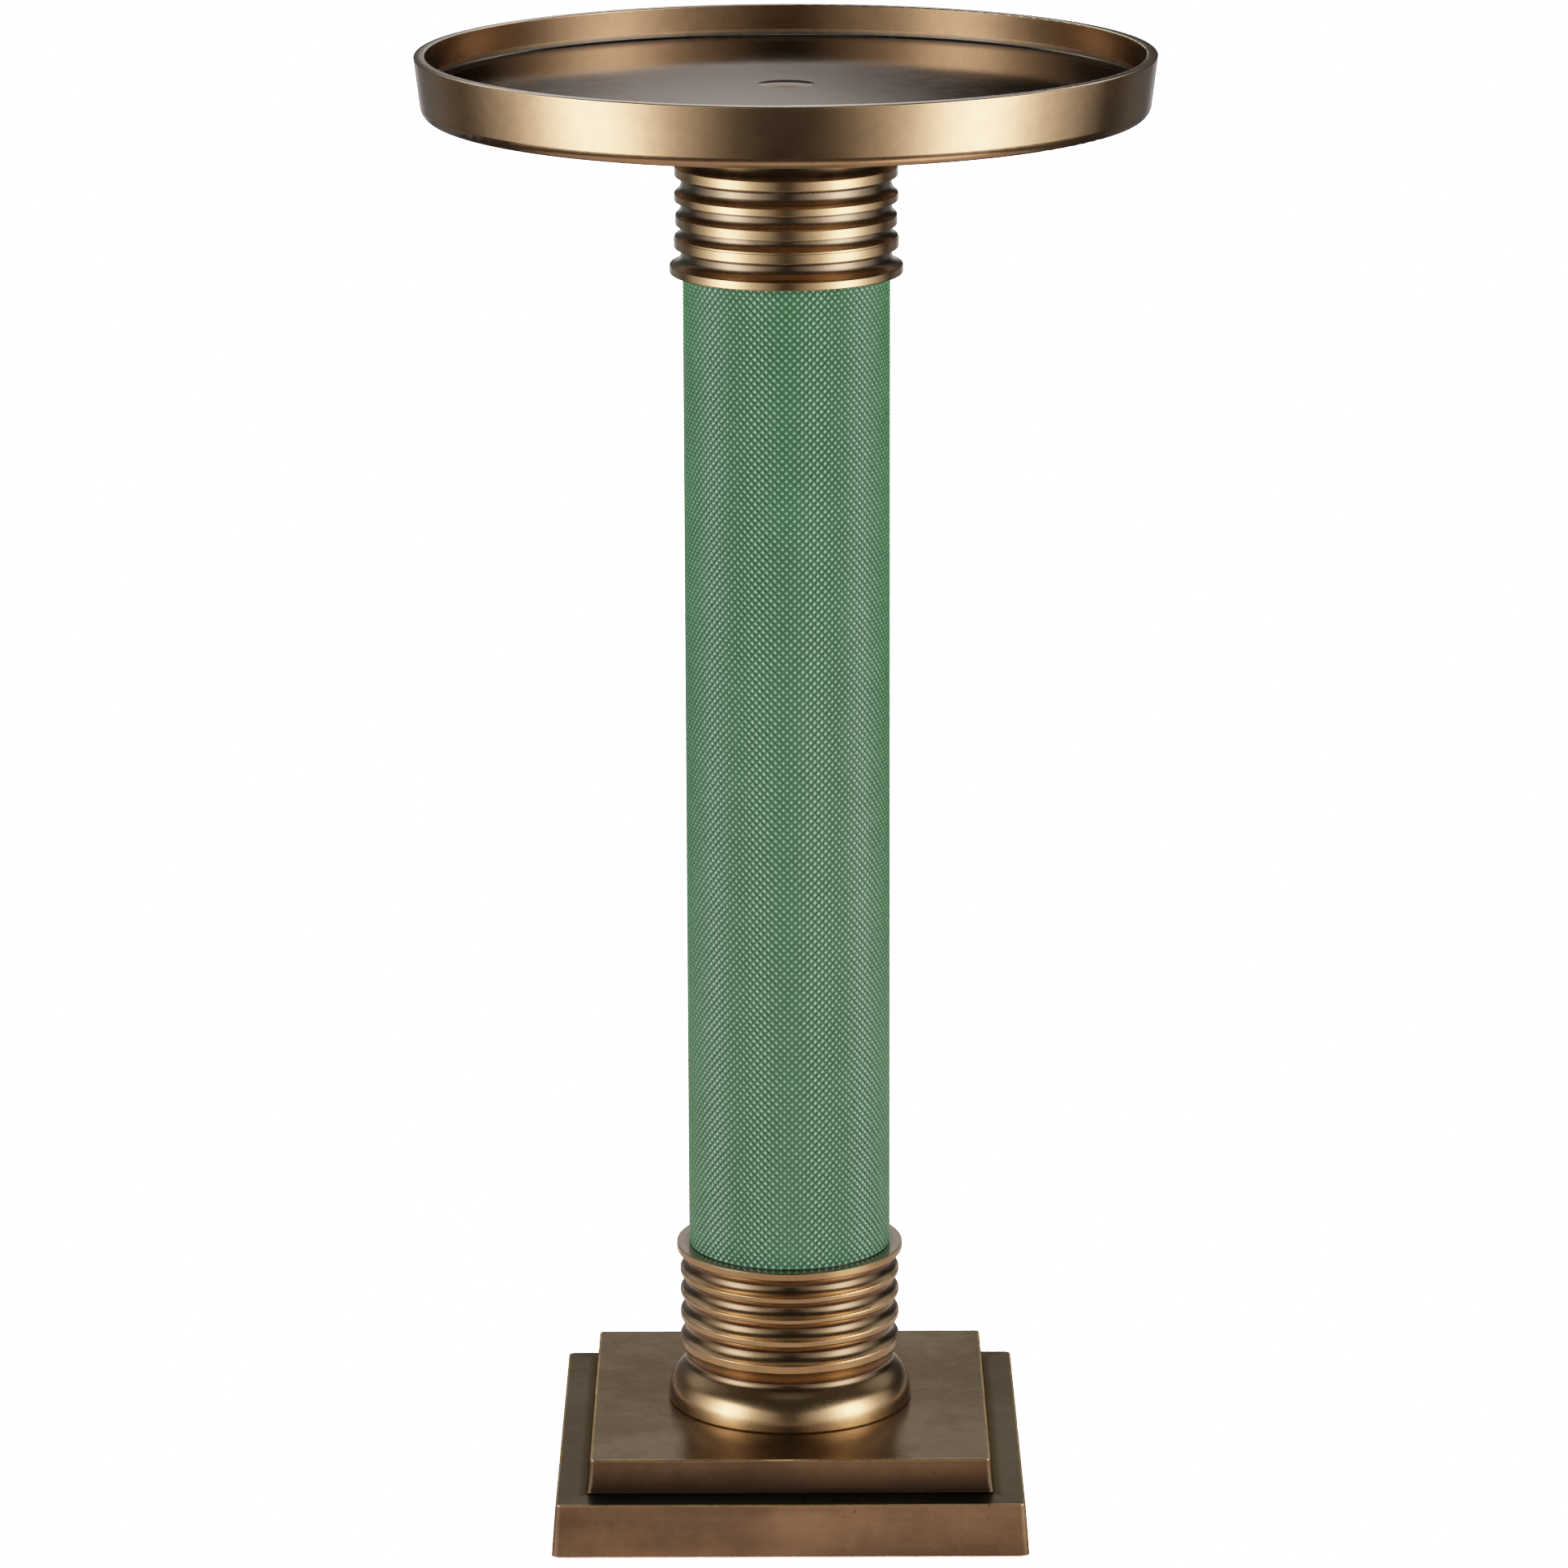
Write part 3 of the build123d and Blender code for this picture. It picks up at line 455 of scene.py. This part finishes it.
# ------------------------------------------------------- the embossed sheath
def sheath():
    """The leather sheath as one closed shell: four-sided studs set on their points, V grooves between them, cut at the
    ends and at the butt seam on the far side."""
    lo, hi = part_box("column_wrap")
    z0, z1 = lo.z, hi.z
    r_in, r_base, tall, groove = 0.0410, 0.04212, 0.00036, 0.00013
    around, rows = 84, 125
    circ = 2 * math.pi * 0.04215
    w, h = circ / around / 2, (z1 - z0) / rows / 2          # half a stud across and up
    keep = 0.88
    rng = np.random.default_rng(7)
    m_max, n_lo, n_hi = 2 * around, -2, 2 * rows + 3
    verts, faces, out_id = [], [], {}
    shift_u, shift_v = -0.0003, 0.00061

    def point(m, n, dh):
        return (m * w + shift_u, n * h + shift_v, dh)

    def corner(m, n):
        if (m, n) not in out_id:
            out_id[(m, n)] = len(verts)
            verts.append(point(m, n, -groove))
        return out_id[(m, n)]

    for n in range(n_lo, n_hi):
        for m in range(-1, m_max + 3):
            if (m + n) % 2:
                continue
            jx, jy, jh = rng.normal(0, (0.00002, 0.00002, 0.000008))
            outer = [corner(m + 1, n), corner(m, n + 1), corner(m - 1, n), corner(m, n - 1)]
            first = len(verts)
            for dm, dn in ((keep, 0), (0, keep), (-keep, 0), (0, -keep)):
                verts.append(point(m + dm, n + dn, 0.0))
            cap = 0.10
            for dm, dn in ((cap, 0), (0, cap), (-cap, 0), (0, -cap)):
                a = point(m + dm, n + dn, tall * (1 - cap / keep) + jh)
                verts.append((a[0] + jx, a[1] + jy, a[2]))
            apex = len(verts)
            a = point(m, n, tall * (1 - 0.4 * cap / keep) + jh)
            verts.append((a[0] + jx, a[1] + jy, a[2]))
            for k in range(4):
                q = (k + 1) % 4
                faces.append((first + 4 + k, first + 4 + q, apex))
                faces.append((first + k, first + q, first + 4 + q, first + 4 + k))
                faces.append((outer[k], outer[q], first + q, first + k))
    me = bpy.data.meshes.new("column_sheath")
    me.from_pydata(verts, [], faces)
    bm = bmesh.new()
    bm.from_mesh(me)
    gap = 0.00025
    for co, no in (((gap, 0, 0), (-1, 0, 0)), ((circ - gap, 0, 0), (1, 0, 0)),
                   ((0, 0, 0), (0, -1, 0)), ((0, z1 - z0, 0), (0, 1, 0))):
        geom = bm.verts[:] + bm.edges[:] + bm.faces[:]
        bmesh.ops.bisect_plane(bm, geom=geom, plane_co=co, plane_no=no, dist=1e-8, clear_outer=True)
    bmesh.ops.remove_doubles(bm, verts=bm.verts[:], dist=1e-7)
    edge = [e for e in bm.edges if e.is_boundary]
    ext = bmesh.ops.extrude_edge_only(bm, edges=edge)
    inner = [g for g in ext["geom"] if isinstance(g, bmesh.types.BMVert)]
    for v in inner:
        v.co.z = r_in - r_base
    tall_v = z1 - z0
    eps = 1e-6
    bottom = sorted([v for v in inner if abs(v.co.y) < eps], key=lambda v: v.co.x)
    top = sorted([v for v in inner if abs(v.co.y - tall_v) < eps], key=lambda v: v.co.x)
    left = sorted([v for v in inner if abs(v.co.x - gap) < eps and eps < v.co.y < tall_v - eps], key=lambda v: v.co.y)
    right = sorted([v for v in inner if abs(v.co.x - circ + gap) < eps and eps < v.co.y < tall_v - eps], key=lambda v: v.co.y)
    if len(bottom) == len(top):
        last = len(bottom) - 2
        for k in range(last + 1):
            loop = [bottom[k]]
            if k == 0:
                loop += left
            loop += [top[k], top[k + 1]]
            if k == last:
                loop += right[::-1]
            loop.append(bottom[k + 1])
            bm.faces.new(loop)
    else:
        print("sheath: ends differ", len(bottom), len(top))
    for v in bm.verts:
        a = v.co.x / circ * 2 * math.pi + math.pi / 2
        r = r_base + v.co.z
        v.co = Vector((r * math.cos(a), r * math.sin(a), z0 + v.co.y))
    bmesh.ops.recalc_face_normals(bm, faces=bm.faces[:])
    for f in bm.faces:
        f.smooth = True
    for e in bm.edges:
        if not e.is_manifold or e.calc_face_angle(3.0) > math.radians(9):
            e.smooth = False
    print("sheath faces", len(bm.faces), "open edges", sum(1 for e in bm.edges if not e.is_manifold))
    bm.to_mesh(me)
    bm.free()
    me.update()
    o = bpy.data.objects.new("column_sheath", me)
    scene.collection.objects.link(o)
    me.materials.append(mats["green_leather"])
    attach(o, "root")
    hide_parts("column_wrap")
    return o


sheath()


# --------------------------------------------------------------- the stage
def emitter(name, az, dist, z_lo, z_hi, half, strength, sigma=None, edge=0.12, skirt=0.2, wide=1.0, oval=False):
    """A soft light panel that faces the table. The camera does not see it."""
    a = math.radians(az)
    c = Vector((math.sin(a) * dist, -math.cos(a) * dist, 0))
    along = Vector((math.cos(a), math.sin(a), 0))
    vs = [c - along * half + Vector((0, 0, z_lo)), c + along * half + Vector((0, 0, z_lo)),
          c + along * half + Vector((0, 0, z_hi)), c - along * half + Vector((0, 0, z_hi))]
    me = bpy.data.meshes.new(name)
    me.from_pydata(vs, [], [(0, 1, 2, 3)])
    uv = me.uv_layers.new(name="UVMap")
    for i, st in enumerate(((0, 0), (1, 0), (1, 1), (0, 1))):
        uv.data[i].uv = st
    o = bpy.data.objects.new(name, me)
    scene.collection.objects.link(o)
    m = bpy.data.materials.new(name)
    m.use_nodes = True
    t = Tree(m.node_tree)
    out = t.node("ShaderNodeOutputMaterial")
    u, vv, _ = t.split(t.node("ShaderNodeUVMap", uv_map="UVMap").outputs[0])[0:3]
    cu = t.math("ABSOLUTE", t.mul(t.sub(u, 0.5), 2 * half))
    fall = t.ramp(cu, half - edge, half, 1.0, 0.0)
    if sigma:
        q = t.math("DIVIDE", cu, sigma)
        q2 = t.math("DIVIDE", cu, wide)
        core = t.mul(t.math("EXPONENT", t.mul(t.mul(q, q), -1.0)), 1.0 - skirt)
        fall = t.mul(fall, t.add(core, t.mul(t.math("EXPONENT", t.mul(t.mul(q2, q2), -1.0)), skirt)))
    if oval:
        e1, e2 = t.math("DIVIDE", cu, half), t.mul(t.sub(vv, 0.5), 2.0)
        fall = t.ramp(t.math("SQRT", t.add(t.mul(e1, e1), t.mul(e2, e2))), 0.78, 1.0, 1.0, 0.0)
    if not oval:
        fall = t.mul(fall, t.mul(t.ramp(vv, 0.0, edge / (z_hi - z_lo)), t.ramp(vv, 1.0, 1.0 - edge / (z_hi - z_lo))))
    em = t.node("ShaderNodeEmission")
    t.put(t.mul(fall, strength), em.inputs["Strength"])
    if sigma:
        k = t.ramp(fall, 0.05, 0.7)
        t.put(t.join(1.0, t.add(t.mul(k, 0.04), 0.98), t.add(t.mul(k, 0.12), 0.96)), em.inputs["Color"])
    t.t.links.new(em.outputs[0], out.inputs["Surface"])
    me.materials.append(m)
    o.visible_camera = False
    o.visible_shadow = False
    return o


def world():
    w = bpy.data.worlds.new("studio")
    scene.world = w
    w.use_nodes = True
    t = Tree(w.node_tree)
    out = t.node("ShaderNodeOutputWorld")
    x, y, z = t.split(t.node("ShaderNodeTexCoord").outputs["Generated"])[0:3]
    az = t.math("ABSOLUTE", t.math("ARCTAN2", x, t.mul(y, -1.0)))       # 0 in front of the table, pi behind it
    el = t.math("ARCSINE", z)
    back = t.ramp(az, math.radians(122), math.radians(140))
    high = t.ramp(el, math.radians(68), math.radians(86))
    left = t.ramp(x, 0.3, -0.3)
    slit = t.mul(t.ramp(az, math.radians(85), math.radians(105)), t.mul(left, 0.06))
    base = t.add(t.add(0.018, slit), t.mul(t.mul(back, t.ramp(el, 0.06, -0.06)), 0.18))
    base = t.add(base, t.mul(high, 1.05))
    dome = t.mul(t.mul(t.ramp(az, math.radians(95), math.radians(125)), t.ramp(el, math.radians(17), math.radians(27))), 0.42)
    base = t.add(base, dome)
    lit = t.node("ShaderNodeBackground")
    t.put(base, lit.inputs["Strength"])
    seen = t.node("ShaderNodeBackground")
    seen.inputs["Color"].default_value = (1, 1, 1, 1)
    seen.inputs["Strength"].default_value = 6.0
    lp = t.node("ShaderNodeLightPath")
    mx = t.node("ShaderNodeMixShader")
    t.t.links.new(lp.outputs["Is Camera Ray"], mx.inputs[0])
    t.t.links.new(lit.outputs[0], mx.inputs[1])
    t.t.links.new(seen.outputs[0], mx.inputs[2])
    t.t.links.new(mx.outputs[0], out.inputs["Surface"])


def floor():
    bm = bmesh.new()
    bmesh.ops.create_circle(bm, cap_ends=True, segments=160, radius=1.15)
    me = bpy.data.meshes.new("floor")
    bm.to_mesh(me)
    bm.free()
    o = bpy.data.objects.new("floor", me)
    scene.collection.objects.link(o)
    m = bpy.data.materials.new("floor_paper")
    m.use_nodes = True
    t = Tree(m.node_tree)
    out = t.node("ShaderNodeOutputMaterial")
    v = t.node("ShaderNodeTexCoord").outputs["Object"]
    n = t.noise(v, 600.0, 3.0, 0.6)
    seen, real = t.node("ShaderNodeBsdfDiffuse"), t.node("ShaderNodeBsdfDiffuse")
    s = t.ramp(n, 0.3, 0.7, 13.0, 14.0)
    t.put(t.join(s, s, s), seen.inputs["Color"])
    far = t.ramp(t.vmath("LENGTH", v), 0.48, 0.62)
    t.put(t.mix(far, (0.82, 0.64, 0.55), (0.08, 0.07, 0.06)), real.inputs["Color"])
    lp = t.node("ShaderNodeLightPath")
    mx = t.node("ShaderNodeMixShader")
    t.t.links.new(lp.outputs["Is Camera Ray"], mx.inputs[0])
    card = t.ramp(t.vmath("DISTANCE", v, (0.43, -0.25, 0.0)), 0.13, 0.24, 1.3, 0.0)
    lift, both = t.node("ShaderNodeEmission"), t.node("ShaderNodeAddShader")
    t.put(t.add(card, t.ramp(t.vmath("LENGTH", v), 0.30, 0.60, 0.13, 0.0)), lift.inputs["Strength"])
    lift.inputs["Color"].default_value = (1.0, 0.84, 0.74, 1.0)
    t.t.links.new(real.outputs[0], both.inputs[0])
    t.t.links.new(lift.outputs[0], both.inputs[1])
    t.t.links.new(both.outputs[0], mx.inputs[1])
    glow = t.node("ShaderNodeEmission")
    glow.inputs["Strength"].default_value = 6.0
    rim = t.node("ShaderNodeMixShader")
    t.put(t.ramp(t.vmath("LENGTH", v), 0.24, 0.50), rim.inputs[0])
    t.t.links.new(seen.outputs[0], rim.inputs[1])
    t.t.links.new(glow.outputs[0], rim.inputs[2])
    t.t.links.new(rim.outputs[0], mx.inputs[2])
    t.t.links.new(mx.outputs[0], out.inputs["Surface"])
    me.materials.append(m)


world()
floor()
for side in (-1, 1):
    emitter("softbox_%s" % ("left" if side < 0 else "right"), 61 * side, 2.5, -0.80, 1.75, 3.5, 5.5, sigma=0.72, edge=0.32, wide=2.15, skirt=0.24)
    emitter("rear_panel_%s" % ("left" if side < 0 else "right"), 146 * side, 1.7, 1.55, 2.4, 0.45, 3.0)
emitter("backdrop_lamp", 181, 2.6, 0.94, 1.50, 0.27, 1.85, oval=True)
emitter("low_backdrop", 180, 1.2, 0.22, 0.62, 0.62, 0.62, edge=0.12)


# ---------------------------------------------------------------- camera, film
def camera():
    cam = bpy.data.cameras.new("camera")
    cam.sensor_width = 36.0
    cam.lens = 154.83
    cam.clip_start, cam.clip_end = 0.05, 60.0
    o = bpy.data.objects.new("camera", cam)
    scene.collection.objects.link(o)
    tilt, roll = 0.2466, -0.0033
    fw = Vector((0, math.cos(tilt), -math.sin(tilt)))
    rt = Vector((1, 0, 0))
    up = Vector((0, math.sin(tilt), math.cos(tilt)))
    cx = rt * math.cos(roll) + up * math.sin(roll)
    cy = -rt * math.sin(roll) + up * math.cos(roll)
    cz = -fw
    o.matrix_world = Matrix(((cx.x, cy.x, cz.x, -0.00167),
                             (cx.y, cy.y, cz.y, -2.7171),
                             (cx.z, cy.z, cz.z, 0.98865),
                             (0, 0, 0, 1)))
    scene.camera = o


def film():
    """A plain film response: a soft shoulder, 1 - exp(-1.25 x), for each channel."""
    vs = scene.view_settings
    scene.display_settings.display_device = "sRGB"
    vs.view_transform = "Standard"
    vs.look = "None"
    vs.exposure, vs.gamma = 0.0, 1.0
    vs.use_curve_mapping = True
    cm = vs.curve_mapping
    top = 6.0
    cm.white_level = (top, top, top)
    c = cm.curves[3]
    xs = [0.0, 0.1, 0.25, 0.45, 0.7, 1.0, 1.4, 1.9, 2.6, 3.5, 4.6, 6.0]
    while len(c.points) > 2:
        c.points.remove(c.points[1])
    for k, xv in enumerate(xs):
        yv = 1.0 - math.exp(-1.25 * xv)
        if xv == xs[-1]:
            yv = 1.0
        if k == 0:
            c.points[0].location = (0.0, 0.0)
        elif k == len(xs) - 1:
            c.points[-1].location = (1.0, yv)
        else:
            c.points.new(xv / top, yv)
    cm.update()


camera()
film()
